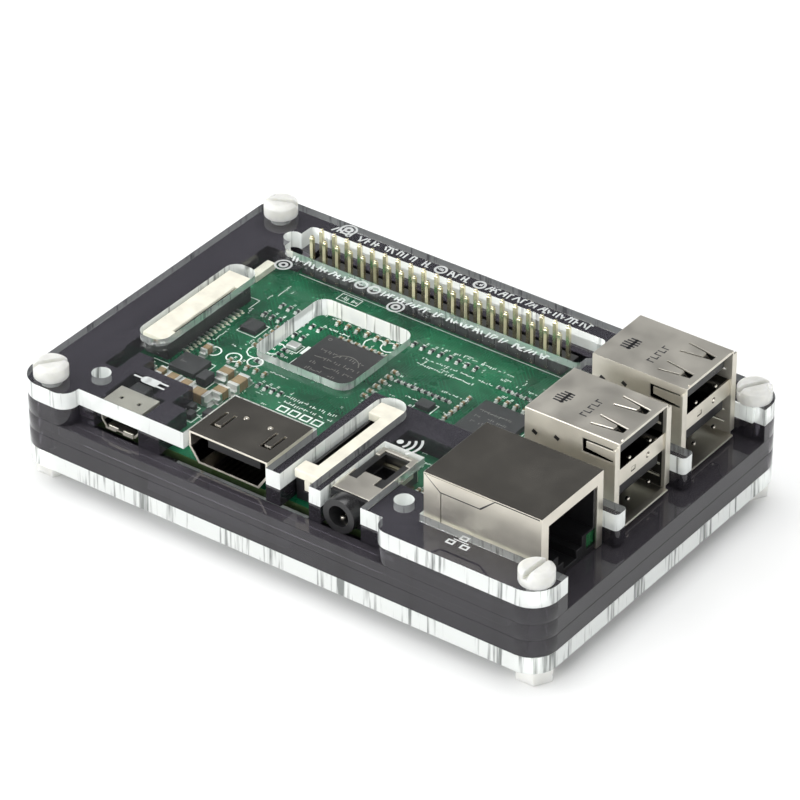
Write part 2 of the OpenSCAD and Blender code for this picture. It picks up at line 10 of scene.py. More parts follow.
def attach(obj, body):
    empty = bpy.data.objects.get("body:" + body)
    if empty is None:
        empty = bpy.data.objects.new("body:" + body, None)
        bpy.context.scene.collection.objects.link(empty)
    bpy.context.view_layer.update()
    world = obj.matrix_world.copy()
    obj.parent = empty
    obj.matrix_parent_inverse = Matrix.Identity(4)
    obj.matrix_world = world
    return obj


MM = 0.001
BOARD = Vector((-42.75, -28.0, 11.2))   # board corner in the case frame, mm
PLATE_TOP = 6.0                         # top face of the clear plate above the board, mm
MARK = 0.02                             # height of a printed or engraved mark, mm
CHIP_MARK = 0.012                       # height of a mark on a chip or a socket, mm
TWIN_CENTRES = {"near_twin": 29, "far_twin": 47}    # middle of each stacked socket across the board
TWIN_TOP = 15.7                         # top of a stacked socket above the board, mm
TWIN_PORTS = (13.1, 3.6)                # heights of the side windows beside the two ports
TWIN_FINGER = 3.05                      # a top window's distance from its socket's middle
MOUNT_HOLES_X = (3.5, 61.5)
MOUNT_HOLES_Y = (3.5, 52.5)
HEADER_COLUMNS = 20
HEADER_PITCH = 2.54
FIRST_PIN_X = 8.37
PROCESSOR_TOP = 1.35
CONTROL_CHIP_TOP = 0.9
NETWORK_SIDE = 2.24                     # outside of the network socket's plug-side wall, mm

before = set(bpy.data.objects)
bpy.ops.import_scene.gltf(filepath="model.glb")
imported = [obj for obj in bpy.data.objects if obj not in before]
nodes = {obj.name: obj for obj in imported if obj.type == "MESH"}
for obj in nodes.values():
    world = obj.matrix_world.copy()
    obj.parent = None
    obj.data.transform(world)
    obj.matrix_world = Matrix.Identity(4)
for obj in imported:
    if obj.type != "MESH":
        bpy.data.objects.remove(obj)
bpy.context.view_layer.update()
random.seed(7)


# ---------- placing and building ----------

def spot(x, y, z=0.0):
    """A point given in board millimetres, as a point of the case frame in metres."""
    return (BOARD + Vector((x, y, z))) * MM


def add_block(bm, x, y, z, size, turn=0.0, tip=None):
    """A box centred at x, y with its underside at z. Sizes are in mm and turn in degrees."""
    middle = spot(x, y, z + size[2] / 2)
    turned = Matrix.Rotation(math.radians(turn), 4, "Z")
    if tip is not None:
        turned = turned @ Matrix.Rotation(math.radians(tip[1]), 4, tip[0])
    scale = Matrix.Diagonal(Vector((size[0], size[1], size[2], 1000)) * MM)
    return bmesh.ops.create_cube(bm, size=1, matrix=Matrix.Translation(middle) @ turned @ scale)


def add_ring(bm, x, y, z, inner, outer, height, steps=24):
    """A flat washer with its underside at z."""
    edges = []
    for radius in (inner, outer):
        made = bmesh.ops.create_circle(bm, segments=steps, radius=radius * MM,
                                       matrix=Matrix.Translation(spot(x, y, z)))
        edges += list({e for v in made["verts"] for e in v.link_edges})
    faces = bmesh.ops.bridge_loops(bm, edges=edges)["faces"]
    top = bmesh.ops.extrude_face_region(bm, geom=faces)["geom"]
    verts = [v for v in top if isinstance(v, bmesh.types.BMVert)]
    bmesh.ops.translate(bm, verts=verts, vec=(0, 0, height * MM))


def add_disc(bm, x, y, z, radius, height, steps=20):
    """A round slug with its underside at z."""
    bmesh.ops.create_cone(bm, cap_ends=True, segments=steps, radius1=radius * MM,
                          radius2=radius * MM, depth=height * MM,
                          matrix=Matrix.Translation(spot(x, y, z + height / 2)))


def add_dome(bm, x, y, z, radius, fineness=2):
    """A small ball centred at x, y, z, which shows as a pressed dome."""
    bmesh.ops.create_icosphere(bm, subdivisions=fineness, radius=radius * MM,
                               matrix=Matrix.Translation(spot(x, y, z)))


def add_outline(bm, x0, y0, x1, y1, line, z=0.0, height=MARK):
    """Four thin strokes round a rectangle."""
    for y in (y0, y1):
        add_block(bm, (x0 + x1) / 2, y, z, (x1 - x0 + line, line, height))
    for x in (x0, x1):
        add_block(bm, x, (y0 + y1) / 2, z, (line, y1 - y0 - line, height))


def add_arc(bm, x, y, z, radius, start, end, line, height=MARK, steps=8):
    """A run of short strokes along part of a circle, angles in degrees."""
    length = math.radians(end - start) * radius / steps * 1.12
    for i in range(steps):
        angle = start + (end - start) * (i + 0.5) / steps
        a = math.radians(angle)
        add_block(bm, x + radius * math.cos(a), y + radius * math.sin(a), z,
                  (line, abs(length), height), angle)


def add_strokes(bm, x, y, count, pitch, tall, line, z=0.0, turn=0.0, height=MARK):
    """A row of small meaningless ticks, in place of printed words."""
    a = math.radians(turn)
    for i in range(count):
        if random.random() < 0.12:
            continue
        along = i * pitch
        for k in range(random.choice((1, 2, 2))):
            off = (k * 0.55 + random.uniform(-0.06, 0.06)) * pitch
            up = random.uniform(-0.22, 0.22) * tall
            px = x + (along + off) * math.cos(a) - up * math.sin(a)
            py = y + (along + off) * math.sin(a) + up * math.cos(a)
            lay = random.random() < 0.4
            size = (pitch * 0.5, line, height) if lay else (line, tall * random.uniform(0.5, 1), height)
            add_block(bm, px, py, z, size, turn)


def finish(name, bm, material, body="case", bevel=0.0):
    """Turns a bmesh into a piece that rides on a body and takes a finish."""
    bmesh.ops.recalc_face_normals(bm, faces=bm.faces)
    mesh = bpy.data.meshes.new(name)
    bm.to_mesh(mesh)
    bm.free()
    piece = bpy.data.objects.new(name, mesh)
    bpy.context.scene.collection.objects.link(piece)
    mesh.materials.append(material)
    if bevel:
        soften(piece, bevel)
    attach(piece, body)
    return piece


def soften(piece, width, segments=2, angle=30):
    """Rounds the sharp edges of a piece, width in mm."""
    weld = piece.modifiers.new("weld", "WELD")
    weld.merge_threshold = 0.000002
    flat = piece.modifiers.new("flat", "DECIMATE")
    flat.decimate_type = "DISSOLVE"
    flat.angle_limit = math.radians(0.5)
    bevel = piece.modifiers.new("soft_edge", "BEVEL")
    bevel.width = width * MM
    bevel.segments = segments
    bevel.limit_method = "ANGLE"
    bevel.angle_limit = math.radians(angle)
    bevel.use_clamp_overlap = True
    bevel.harden_normals = False


def separate_boxes(node):
    """The box of each separate solid of a CAD node, in board millimetres."""
    bm = bmesh.new()
    bm.from_mesh(nodes[node].data)
    bmesh.ops.remove_doubles(bm, verts=bm.verts, dist=1e-6)
    seen, boxes = set(), []
    for start in bm.verts:
        if start in seen:
            continue
        group, todo = [], [start]
        seen.add(start)
        while todo:
            v = todo.pop()
            group.append(v.co / MM - BOARD)
            for e in v.link_edges:
                w = e.other_vert(v)
                if w not in seen:
                    seen.add(w)
                    todo.append(w)
        low = [min(p[i] for p in group) for i in range(3)]
        high = [max(p[i] for p in group) for i in range(3)]
        boxes.append((low, high))
    bm.free()
    return boxes


# ---------- shader helpers ----------

def link(tree, a, b):
    tree.links.new(a, b)


def make_group(name, inputs, outputs):
    """An empty node group with its sockets. Returns it with its two end nodes."""
    group = bpy.data.node_groups.new(name, "ShaderNodeTree")
    for label, kind, value in inputs:
        socket = group.interface.new_socket(label, in_out="INPUT", socket_type=kind)
        if value is not None:
            socket.default_value = value
    for label, kind in outputs:
        group.interface.new_socket(label, in_out="OUTPUT", socket_type=kind)
    return group, group.nodes.new("NodeGroupInput"), group.nodes.new("NodeGroupOutput")


def node_in(tree, kind, **values):
    n = tree.nodes.new(kind)
    for key, value in values.items():
        setattr(n, key, value)
    return n


def math_node(tree, operation, a, b=None):
    n = node_in(tree, "ShaderNodeMath", operation=operation)
    for socket, value in ((n.inputs[0], a), (n.inputs[1], b)):
        if value is None:
            continue
        if hasattr(value, "is_linked"):
            link(tree, value, socket)
        else:
            socket.default_value = value
    return n.outputs[0]


def ramp(tree, source, stops):
    """A colour ramp from a list of (place, colour)."""
    n = node_in(tree, "ShaderNodeValToRGB")
    while len(n.color_ramp.elements) < len(stops):
        n.color_ramp.elements.new(0.5)
    for element, (place, colour) in zip(n.color_ramp.elements, stops):
        element.position = place
        element.color = (*colour, 1) if len(colour) == 3 else colour
    link(tree, source, n.inputs[0])
    return n.outputs[0]


def mix_colour(tree, factor, a, b):
    """Colour a where the factor is 0 and b where it is 1."""
    n = node_in(tree, "ShaderNodeMix", data_type="RGBA")
    for socket, value in ((n.inputs["Factor"], factor), (n.inputs[6], a), (n.inputs[7], b)):
        if hasattr(value, "is_linked"):
            link(tree, value, socket)
        else:
            socket.default_value = value if isinstance(value, float) else (*value, 1)
    return n.outputs[2]


def build_uneven_sheen():
    """Slow patches of gloss, as from handling."""
    group, gin, gout = make_group(
        "uneven_sheen",
        [("Vector", "NodeSocketVector", None), ("Scale", "NodeSocketFloat", 60.0),
         ("Low", "NodeSocketFloat", 0.2), ("High", "NodeSocketFloat", 0.4)],
        [("Value", "NodeSocketFloat")])
    noise = node_in(group, "ShaderNodeTexNoise")
    noise.inputs["Detail"].default_value = 4
    spread = node_in(group, "ShaderNodeMapRange")
    spread.inputs["From Min"].default_value = 0.3
    spread.inputs["From Max"].default_value = 0.7
    link(group, gin.outputs["Vector"], noise.inputs["Vector"])
    link(group, gin.outputs["Scale"], noise.inputs["Scale"])
    link(group, noise.outputs["Fac"], spread.inputs["Value"])
    link(group, gin.outputs["Low"], spread.inputs["To Min"])
    link(group, gin.outputs["High"], spread.inputs["To Max"])
    link(group, spread.outputs[0], gout.inputs["Value"])
    return group


def build_fine_grain():
    """A fine moulded or rolled grain, as a height."""
    group, gin, gout = make_group(
        "fine_grain",
        [("Vector", "NodeSocketVector", None), ("Scale", "NodeSocketFloat", 6000.0),
         ("Stretch", "NodeSocketVector", (1, 1, 1))],
        [("Height", "NodeSocketFloat")])
    stretch = node_in(group, "ShaderNodeVectorMath", operation="MULTIPLY")
    noise = node_in(group, "ShaderNodeTexNoise")
    noise.inputs["Detail"].default_value = 3
    link(group, gin.outputs["Vector"], stretch.inputs[0])
    link(group, gin.outputs["Stretch"], stretch.inputs[1])
    link(group, stretch.outputs[0], noise.inputs["Vector"])
    link(group, gin.outputs["Scale"], noise.inputs["Scale"])
    link(group, noise.outputs["Fac"], gout.inputs["Height"])
    return group


def build_cut_streaks():
    """The upright streaks a laser leaves on the edge of a sheet, as a height, and a mask that picks the
    painted light streaks (1) from the painted dark ones (0).
    """
    group, gin, gout = make_group(
        "cut_streaks",
        [("Vector", "NodeSocketVector", None), ("Scale", "NodeSocketFloat", 900.0)],
        [("Height", "NodeSocketFloat"), ("Dark", "NodeSocketFloat")])
    flat = node_in(group, "ShaderNodeVectorMath", operation="MULTIPLY")
    flat.inputs[1].default_value = (1, 1, 0.05)
    fine = node_in(group, "ShaderNodeTexNoise")
    fine.inputs["Detail"].default_value = 5
    wide = node_in(group, "ShaderNodeTexNoise")
    wide.inputs["Scale"].default_value = 220
    wide.inputs["Detail"].default_value = 3
    link(group, gin.outputs["Vector"], flat.inputs[0])
    for noise in (fine, wide):
        link(group, flat.outputs[0], noise.inputs["Vector"])
    link(group, gin.outputs["Scale"], fine.inputs["Scale"])
    both = math_node(group, "MULTIPLY", fine.outputs["Fac"], wide.outputs["Fac"])
    link(group, fine.outputs["Fac"], gout.inputs["Height"])
    # painted light and shade: this mask sets which edge streaks are painted light and which dark
    dark = node_in(group, "ShaderNodeMapRange")
    dark.inputs["From Min"].default_value = 0.14
    dark.inputs["From Max"].default_value = 0.21
    link(group, both, dark.inputs["Value"])
    link(group, dark.outputs[0], gout.inputs["Dark"])
    return group


UNEVEN_SHEEN = build_uneven_sheen()
FINE_GRAIN = build_fine_grain()
CUT_STREAKS = build_cut_streaks()


def place_group(tree, group, vector, **values):
    n = node_in(tree, "ShaderNodeGroup", node_tree=group)
    link(tree, vector, n.inputs["Vector"])
    for key, value in values.items():
        n.inputs[key].default_value = value
    return n


def start_material(name, colour, roughness=0.4, metallic=0.0):
    """A Principled finish with its object coordinates ready."""
    material = bpy.data.materials.new(name)
    material.use_nodes = True
    tree = material.node_tree
    shader = tree.nodes["Principled BSDF"]
    shader.inputs["Base Color"].default_value = (*colour, 1)
    shader.inputs["Roughness"].default_value = roughness
    shader.inputs["Metallic"].default_value = metallic
    coords = node_in(tree, "ShaderNodeTexCoord").outputs["Object"]
    return material, tree, shader, coords


def add_sheen(tree, shader, coords, low, high, scale=60.0):
    sheen = place_group(tree, UNEVEN_SHEEN, coords, Scale=scale, Low=low, High=high)
    link(tree, sheen.outputs["Value"], shader.inputs["Roughness"])


def add_bump(tree, shader, height, strength, distance):
    bump = node_in(tree, "ShaderNodeBump")
    bump.inputs["Strength"].default_value = strength
    bump.inputs["Distance"].default_value = distance * MM
    link(tree, height, bump.inputs["Height"])
    link(tree, bump.outputs[0], shader.inputs["Normal"])


SHADED_SOCKET_INSIDES = (     # painted shade: the unlit insides of the sockets, board mm, where plated metal is painted almost black
    (72.0, 22.75, 0.65, 86.4, 35.25, 15.3), (72.0, 40.75, 0.65, 86.4, 53.25, 15.3),
    (68.0, 2.9, 0.5, 86.9, 17.6, 13.1), (25.0, -1.0, 1.3, 39.0, 9.8, 5.9),
    (7.3, -0.7, 0.4, 13.9, 4.0, 2.5))


def box_mask(tree, coords, boxes):
    """1 inside any of the boxes, given in board millimetres."""
    split = node_in(tree, "ShaderNodeSeparateXYZ")
    link(tree, coords, split.inputs[0])
    result = None
    for box in boxes:
        part = None
        for axis, low, high in zip("XYZ", spot(*box[:3]), spot(*box[3:])):
            near = node_in(tree, "ShaderNodeMath", operation="COMPARE")
            link(tree, split.outputs[axis], near.inputs[0])
            near.inputs[1].default_value = (low + high) / 2
            near.inputs[2].default_value = (high - low) / 2
            within = near.outputs[0]
            part = within if part is None else math_node(tree, "MULTIPLY", part, within)
        result = part if result is None else math_node(tree, "MAXIMUM", result, part)
    return result


def upright_mask(tree):
    """1 on upright faces, 0 on flat ones."""
    split = node_in(tree, "ShaderNodeSeparateXYZ")
    link(tree, node_in(tree, "ShaderNodeNewGeometry").outputs["True Normal"], split.inputs[0])
    level = math_node(tree, "ABSOLUTE", split.outputs["Z"])
    return math_node(tree, "LESS_THAN", level, 0.5)


# ---------- finishes ----------

def moulded(name, colour, low, high, grain=5000.0, depth=0.01, strength=0.35):
    """Moulded plastic with a fine grain and uneven gloss."""
    material, tree, shader, coords = start_material(name, colour)
    add_sheen(tree, shader, coords, low, high, 150.0)
    fine = place_group(tree, FINE_GRAIN, coords, Scale=grain)
    add_bump(tree, shader, fine.outputs["Height"], strength, depth)
    tint = place_group(tree, UNEVEN_SHEEN, coords, Scale=420.0, Low=0.0, High=1.0)
    link(tree, mix_colour(tree, tint.outputs["Value"], tuple(c * 0.82 for c in colour), colour),
         shader.inputs["Base Color"])
    return material, tree, shader, coords


def clear_sheet_finish():
    """Clear cast sheet: polished faces and streaked laser cut edges. The edges are painted bright, with
    painted dark streaks and a faint painted glow, standing in for the light seen through them, and seen from
    inside they take less of this paint.
    """
    material, tree, shader, coords = start_material("clear_cast_sheet", (0.975, 0.99, 0.985), 0.02)
    shader.inputs["Transmission Weight"].default_value = 1
    shader.inputs["IOR"].default_value = 1.49
    add_sheen(tree, shader, coords, 0.0, 0.02, 90.0)
    streaks = place_group(tree, CUT_STREAKS, coords, Scale=1700.0)
    upright = upright_mask(tree)
    add_bump(tree, shader, math_node(tree, "MULTIPLY", streaks.outputs["Height"], upright), 0.55, 0.2)
    edge = node_in(tree, "ShaderNodeBsdfPrincipled")
    # painted light: the cut edges are painted near white with painted dark streaks, standing in for the
    # surroundings seen through them
    colour = mix_colour(tree, streaks.outputs["Dark"], (0.3, 0.32, 0.31), (0.96, 0.98, 0.96))
    link(tree, colour, edge.inputs["Base Color"])
    edge.inputs["Roughness"].default_value = 0.35
    edge.inputs["IOR"].default_value = 1.49
    # painted glow: the bright streaks of the edges give off a faint light of their own
    edge.inputs["Emission Color"].default_value = (0.9, 1, 0.96, 1)
    link(tree, math_node(tree, "MULTIPLY", streaks.outputs["Dark"], 0.22), edge.inputs["Emission Strength"])
    add_bump(tree, edge, streaks.outputs["Height"], 0.5, 0.05)
    # painted shade: edges seen from inside the sheet take less of the bright painted edge
    inside = node_in(tree, "ShaderNodeNewGeometry").outputs["Backfacing"]
    amount = math_node(tree, "SUBTRACT", 0.56, math_node(tree, "MULTIPLY", inside, 0.38))
    share = math_node(tree, "MULTIPLY", upright, amount)
    sheet = node_in(tree, "ShaderNodeMixShader")
    link(tree, share, sheet.inputs[0])
    link(tree, shader.outputs[0], sheet.inputs[1])
    link(tree, edge.outputs[0], sheet.inputs[2])
    let_lamps_through(tree, sheet.outputs[0], (0.93, 0.95, 0.94))
    return material


def let_lamps_through(tree, surface, tint):
    """Light from the lamps passes a see-through sheet instead of stopping at it."""
    lamp = node_in(tree, "ShaderNodeMixShader")
    clear = node_in(tree, "ShaderNodeBsdfTransparent")
    clear.inputs[0].default_value = (*tint, 1)
    link(tree, node_in(tree, "ShaderNodeLightPath").outputs["Is Shadow Ray"], lamp.inputs[0])
    link(tree, surface, lamp.inputs[1])
    link(tree, clear.outputs[0], lamp.inputs[2])
    link(tree, lamp.outputs[0], tree.nodes["Material Output"].inputs["Surface"])


def smoke_sheet_finish():
    """Dark smoke tinted sheet: a little light comes through, with streaks on its edges. The edges are
    painted darker than the faces as painted shade, with painted lighter streaks.
    """
    material, tree, shader, coords = start_material("smoke_cast_sheet", (0.05, 0.046, 0.056), 0.06)
    shader.inputs["IOR"].default_value = 1.49
    shader.inputs["Transmission Weight"].default_value = 0.8
    add_sheen(tree, shader, coords, 0.02, 0.1, 70.0)
    streaks = place_group(tree, CUT_STREAKS, coords, Scale=1000.0)
    upright = upright_mask(tree)
    # painted shade: upright edges take a darker colour than the faces, with painted lighter streaks
    edge_tint = mix_colour(tree, streaks.outputs["Dark"], (0.05, 0.045, 0.055), (0.09, 0.083, 0.1))
    link(tree, mix_colour(tree, upright, (0.2, 0.185, 0.215), edge_tint), shader.inputs["Base Color"])
    add_bump(tree, shader, math_node(tree, "MULTIPLY", streaks.outputs["Height"], upright), 0.2, 0.03)
    let_lamps_through(tree, shader.outputs[0], (0.12, 0.11, 0.13))
    return material


def nylon_finish():
    """Milky nylon that light sinks into."""
    material, _, shader, _ = moulded("milky_nylon", (0.92, 0.92, 0.88), 0.25, 0.42, 3000.0, 0.02)
    shader.inputs["Subsurface Weight"].default_value = 0.7
    shader.inputs["Transmission Weight"].default_value = 0.25
    shader.inputs["Subsurface Radius"].default_value = (1, 1, 0.9)
    shader.inputs["Subsurface Scale"].default_value = 0.0015
    return material


def board_finish():
    """Green solder mask with fine tracks, vias and a bare glass fibre edge."""
    material, tree, shader, coords = start_material("green_solder_mask", (0.004, 0.13, 0.055), 0.3)
    shader.inputs["Specular IOR Level"].default_value = 0.35
    tracks = None
    for turn, size in ((0.0, 900.0), (45.0, 620.0), (90.0, 760.0)):
        mapping = node_in(tree, "ShaderNodeMapping")
        mapping.inputs["Rotation"].default_value[2] = math.radians(turn)
        link(tree, coords, mapping.inputs["Vector"])
        brick = node_in(tree, "ShaderNodeTexBrick")
        brick.offset = 0.37
        brick.inputs["Scale"].default_value = size
        brick.inputs["Mortar Size"].default_value = 0.035
        brick.inputs["Brick Width"].default_value = 7.0
        brick.inputs["Row Height"].default_value = 0.36
        link(tree, mapping.outputs[0], brick.inputs["Vector"])
        patch = node_in(tree, "ShaderNodeTexNoise")
        patch.inputs["Scale"].default_value = 130 + turn
        link(tree, mapping.outputs[0], patch.inputs["Vector"])
        region = math_node(tree, "GREATER_THAN", patch.outputs["Fac"], 0.52)
        line = math_node(tree, "MULTIPLY", brick.outputs["Fac"], region)
        tracks = line if tracks is None else math_node(tree, "MAXIMUM", tracks, line)
    vias = node_in(tree, "ShaderNodeTexVoronoi")
    vias.inputs["Scale"].default_value = 620
    vias.inputs["Randomness"].default_value = 0.85
    link(tree, coords, vias.inputs["Vector"])
    via_size = math_node(tree, "LESS_THAN", vias.outputs["Distance"], 0.17)
    via_hole = math_node(tree, "LESS_THAN", vias.outputs["Distance"], 0.07)
    crowd = node_in(tree, "ShaderNodeTexNoise")
    crowd.inputs["Scale"].default_value = 95
    link(tree, coords, crowd.inputs["Vector"])
    via_area = math_node(tree, "GREATER_THAN", crowd.outputs["Fac"], 0.5)
    via_mask = math_node(tree, "MULTIPLY", via_size, via_area)
    pour = ramp(tree, crowd.outputs["Fac"], [(0.4, (0.001, 0.042, 0.018)), (0.6, (0.002, 0.088, 0.036))])
    green = mix_colour(tree, tracks, pour, (0.003, 0.125, 0.052))
    green = mix_colour(tree, via_mask, green, (0.03, 0.22, 0.11))
    # painted shade: the via holes are painted almost black
    green = mix_colour(tree, math_node(tree, "MULTIPLY", via_hole, via_area), green, (0.004, 0.03, 0.02))
    green = mix_colour(tree, upright_mask(tree), green, (0.035, 0.06, 0.02))
    link(tree, green, shader.inputs["Base Color"])
    add_sheen(tree, shader, coords, 0.22, 0.36, 120.0)
    height = math_node(tree, "ADD", tracks, via_mask)
    add_bump(tree, shader, height, 0.5, 0.02)
    return material


def plated_finish(name, colour, low, high, stretch=(1, 1, 1), grain=2600.0, strength=0.12,
                  painted_top_shade=1.0):
    """Plated sheet metal with faint rolling lines. Flat faces are painted darker by the given factor, a
    painted reflection of the dark sky above, and the metal inside the sockets is painted almost black as
    painted shade.
    """
    material, tree, shader, coords = start_material(name, colour, metallic=1.0)
    add_sheen(tree, shader, coords, low, high, 180.0)
    lines = place_group(tree, FINE_GRAIN, coords, Scale=grain, Stretch=stretch)
    add_bump(tree, shader, lines.outputs["Height"], strength, 0.01)
    tint = place_group(tree, UNEVEN_SHEEN, coords, Scale=260.0, Low=0.0, High=1.0)
    plate = mix_colour(tree, tint.outputs["Value"], tuple(c * 0.9 for c in colour), colour)
    # painted reflection: flat faces take a darker copy of the colour than upright faces
    if painted_top_shade < 1:
        plate = mix_colour(tree, upright_mask(tree), tuple(c * painted_top_shade for c in colour), plate)
        sheen = place_group(tree, UNEVEN_SHEEN, coords, Scale=180.0, Low=low, High=high)
        more = math_node(tree, "MULTIPLY", upright_mask(tree), 0.24)
        link(tree, math_node(tree, "ADD", sheen.outputs["Value"], more), shader.inputs["Roughness"])
    # painted shade: inside these boxes the plated colour drops to 7 per cent
    inside = box_mask(tree, coords, SHADED_SOCKET_INSIDES)
    link(tree, mix_colour(tree, inside, plate, tuple(c * 0.07 for c in colour)), shader.inputs["Base Color"])
    return material


def frosted_finish():
    """Engraved strokes in the clear sheet."""
    material, _, shader, _ = moulded("frosted_engraving", (0.9, 0.93, 0.92), 0.5, 0.7, 9000.0)
    shader.inputs["Alpha"].default_value = 0.5
    return material


def window_light_finish():
    """The unlit green windows of the lights."""
    material, _, shader, _ = moulded("green_light_window", (0.02, 0.12, 0.045), 0.15, 0.3, 4000.0)
    shader.inputs["Transmission Weight"].default_value = 0.2
    return material


CLEAR = clear_sheet_finish()
SMOKE = smoke_sheet_finish()
NYLON = nylon_finish()
GREEN = board_finish()
CHIP = moulded("black_chip", (0.018, 0.018, 0.02), 0.38, 0.55, 9000.0)[0]
SOCKET_BLACK = moulded("black_socket_plastic", (0.012, 0.012, 0.013), 0.25, 0.45, 5000.0)[0]
IVORY = moulded("ivory_latch_plastic", (0.83, 0.8, 0.68), 0.35, 0.5, 4000.0)[0]
NICKEL = plated_finish("bright_nickel", (0.78, 0.74, 0.65), 0.1, 0.18, (1, 0.08, 1), 2600.0, 0.05, 0.6)
SATIN_NICKEL = plated_finish("satin_nickel", (0.76, 0.73, 0.65), 0.28, 0.38, (0.06, 1, 1), 3200.0, 0.3, 0.85)
GOLD = plated_finish("gold_plate", (0.93, 0.87, 0.62), 0.16, 0.26)
TIN = plated_finish("solder_tin", (0.82, 0.82, 0.8), 0.25, 0.42, (1, 1, 1), 4000.0, 0.3)
BRIGHT_TIN = plated_finish("bright_solder", (0.95, 0.92, 0.8), 0.3, 0.5, (1, 1, 1), 4000.0, 0.3)
CERAMIC = moulded("tan_ceramic", (0.25, 0.17, 0.085), 0.35, 0.5, 7000.0)[0]
FROST = frosted_finish()
WHITE_INK = moulded("white_board_print", (0.82, 0.86, 0.82), 0.45, 0.6, 9000.0)[0]
GREY_INK = moulded("grey_chip_print", (0.17, 0.165, 0.15), 0.45, 0.6, 9000.0)[0]
LIGHT_GREEN = window_light_finish()
RESISTOR = moulded("black_resistor_body", (0.02, 0.02, 0.024), 0.3, 0.45, 8000.0)[0]

NODE_FINISH = {
    CLEAR: ["base_plate", "top_plate"],
    SMOKE: ["lower_frame", "middle_frame", "upper_frame"],
    NYLON: ["case_screws", "case_nuts"],
    GREEN: ["circuit_board"],
    CHIP: ["processor", "memory_chip", "socket_control_chip", "wireless_chip", "power_chip",
           "small_chips", "diodes", "inductors"],
    SOCKET_BLACK: ["header_base", "near_twin_insulator", "far_twin_insulator", "network_insert",
                   "video_tongue", "power_socket_tongue", "jack_body", "camera_socket_body",
                   "display_socket_body", "card_slot_base"],
    NICKEL: ["near_twin_divider", "far_twin_divider", "network_shell", "video_shell",
             "card_slot_shell"],
    SATIN_NICKEL: ["near_twin_shell", "far_twin_shell", "power_socket_shell", "jack_clip"],
    GOLD: ["header_pins", "near_twin_contacts", "far_twin_contacts", "network_contacts",
           "video_contacts", "jack_contacts"],
    IVORY: ["camera_latch", "display_latch", "antenna"],
    TIN: ["camera_socket_pins", "display_socket_pins", "crystals"],
    CERAMIC: ["large_capacitors", "small_capacitors"],
    RESISTOR: ["resistors"],
    LIGHT_GREEN: ["network_lights", "status_lights"],
}
for finish_used, names in NODE_FINISH.items():
    for node_name in names:
        data = nodes[node_name].data
        data.materials.clear()
        data.materials.append(finish_used)

EDGE_ROUNDING = {
    "top_plate": 0.06, "base_plate": 0.06, "lower_frame": 0.16, "middle_frame": 0.16,
    "upper_frame": 0.16, "case_nuts": 0.2, "circuit_board": 0.04, "processor": 0.08,
    "socket_control_chip": 0.06, "power_chip": 0.06, "small_chips": 0.05, "header_base": 0.1,
    "header_pins": 0.08, "near_twin_shell": 0.12, "far_twin_shell": 0.12,
    "near_twin_divider": 0.08, "far_twin_divider": 0.08, "network_shell": 0.1,
    "video_shell": 0.1, "power_socket_shell": 0.06, "jack_body": 0.1, "jack_clip": 0.05,
    "camera_latch": 0.12, "display_latch": 0.12, "camera_socket_body": 0.1,
    "display_socket_body": 0.1, "large_capacitors": 0.12, "small_capacitors": 0.05,
    "resistors": 0.04, "inductors": 0.15, "crystals": 0.1, "antenna": 0.1,
    "network_insert": 0.06, "network_lights": 0.1,
}
for node_name, width in EDGE_ROUNDING.items():
    soften(nodes[node_name], width)
soften(nodes["case_screws"], 0.7, 4, 35)    # a moulded head, with a much rounder rim


# ---------- solder and small part ends ----------

def build_part_ends():
    """Tinned ends and solder on every two-ended part, found from its own box."""
    ends = bmesh.new()
    pads = bmesh.new()
    covers = {"large_capacitors": 0.2, "small_capacitors": 0.26, "resistors": 0.22}
    for node_name, cover in covers.items():
        for low, high in separate_boxes(node_name):
            size = [high[i] - low[i] for i in range(3)]
            mid = [(high[i] + low[i]) / 2 for i in range(3)]
            along = 0 if size[0] > size[1] else 1
            across = 1 - along
            for side in (-1, 1):
                cap = [0.0, 0.0, size[2] + 0.02]
                cap[along] = size[along] * cover
                cap[across] = size[across] + 0.04
                place = list(mid)
                place[along] += side * (size[along] / 2 - cap[along] / 2 + 0.02)
                add_block(ends, place[0], place[1], low[2], cap)
                pad = [0.0, 0.0, 0.03]
                pad[along] = size[along] * 0.5
                pad[across] = size[across] + 0.12
                place[along] += side * size[along] * 0.12
                add_block(pads, place[0], place[1], low[2], pad)
                fillet = list(cap)
                fillet[along] = 0.22 * size[across] + 0.1
                fillet[2] = size[2] * 0.45
                place[along] = mid[along] + side * (size[along] / 2 + fillet[along] / 2)
                add_block(pads, place[0], place[1], low[2], fillet)
    finish("part_ends", ends, TIN, bevel=0.05)
    finish("part_solder", pads, TIN, bevel=0.06)


build_part_ends()


def build_pin_pads():
    """Bright solder at the outer ends of the ribbon sockets' pins."""
    bm = bmesh.new()
    for node_name, side in (("camera_socket_pins", -1), ("display_socket_pins", 1)):
        for low, high in separate_boxes(node_name):
            x = high[0] if side > 0 else low[0]
            y = (low[1] + high[1]) / 2
            add_block(bm, x + side * 0.12, y, 0, (0.75, 0.52, 0.05))
            add_block(bm, x - side * 0.05, y, 0.05, (0.45, 0.4, 0.3))
    finish("pin_solder", bm, BRIGHT_TIN, bevel=0.05)


build_pin_pads()


# ---------- board print ----------

